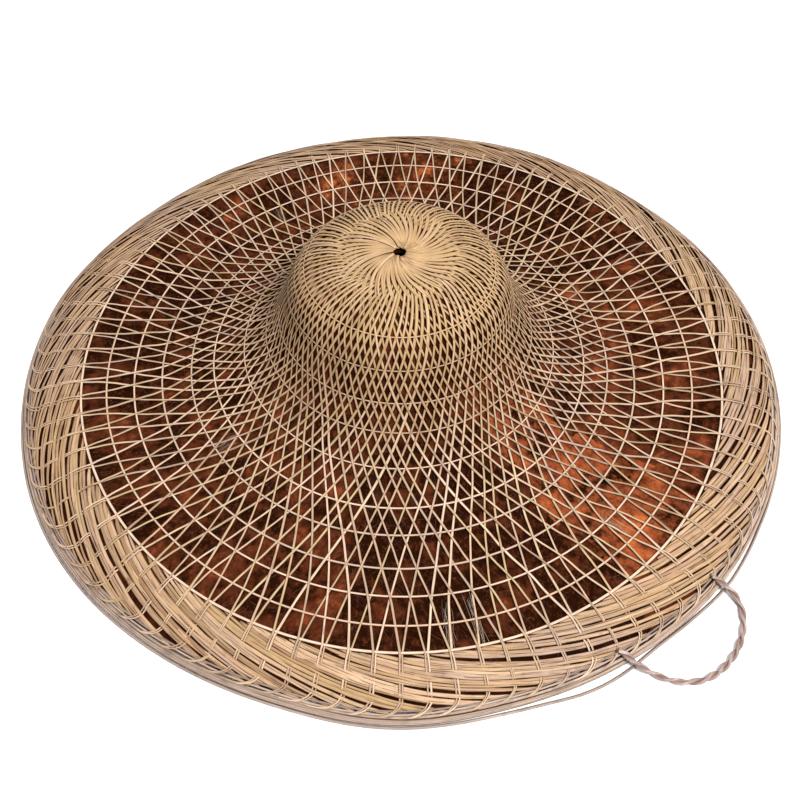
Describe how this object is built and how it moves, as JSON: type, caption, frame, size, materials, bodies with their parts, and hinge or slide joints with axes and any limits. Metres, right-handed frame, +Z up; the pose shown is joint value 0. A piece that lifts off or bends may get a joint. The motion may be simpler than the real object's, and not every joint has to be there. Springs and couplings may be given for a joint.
{
  "type": "conical bamboo hat",
  "caption": "Wide woven bamboo rain hat with a bell-shaped crown, a palm bark layer under an open net of splints, a woven rim and a cord loop.",
  "frame": {"origin": "under the middle of the hat's outline, without the cord loop, on the surface that its edge rests on", "axes": "+Z up through the crown; -Y towards the front of the hat, where the picture looks from; the cord loop lies at the front right, +X and -Y"},
  "size_m": [0.7214, 0.7016, 0.1517],
  "materials": {
    "split_bamboo": "satin split bamboo, unpainted",
    "hoop_bamboo": "satin pale split bamboo",
    "grey_bamboo": "weathered grey bamboo, matt",
    "palm_bark": "matt fibrous palm bark",
    "cord_fibre": "matt twisted plant fibre"
  },
  "bodies": {
    "root": {"crown_cap": "split_bamboo", "bark_crown": "palm_bark", "bark_sheet_1": "palm_bark", "bark_sheet_2": "palm_bark", "bark_sheet_3": "palm_bark", "bark_sheet_4": "palm_bark", "bark_sheet_5": "palm_bark", "bark_sheet_6": "palm_bark", "bark_sheet_7": "palm_bark", "bark_sheet_8": "palm_bark", "bark_sheet_9": "palm_bark", "hoop_1": "hoop_bamboo", "hoop_2": "hoop_bamboo", "hoop_3": "hoop_bamboo", "hoop_4": "hoop_bamboo", "hoop_5": "hoop_bamboo", "hoop_6": "hoop_bamboo", "hoop_7": "hoop_bamboo", "hoop_8": "hoop_bamboo", "hoop_9": "hoop_bamboo", "hoop_10": "hoop_bamboo", "hoop_11": "hoop_bamboo", "rim_band": "split_bamboo", "edge_hoop": "grey_bamboo", "loose_edge_hoop": "grey_bamboo", "hanging_loop": "cord_fibre"}
  },
  "joints": []
}
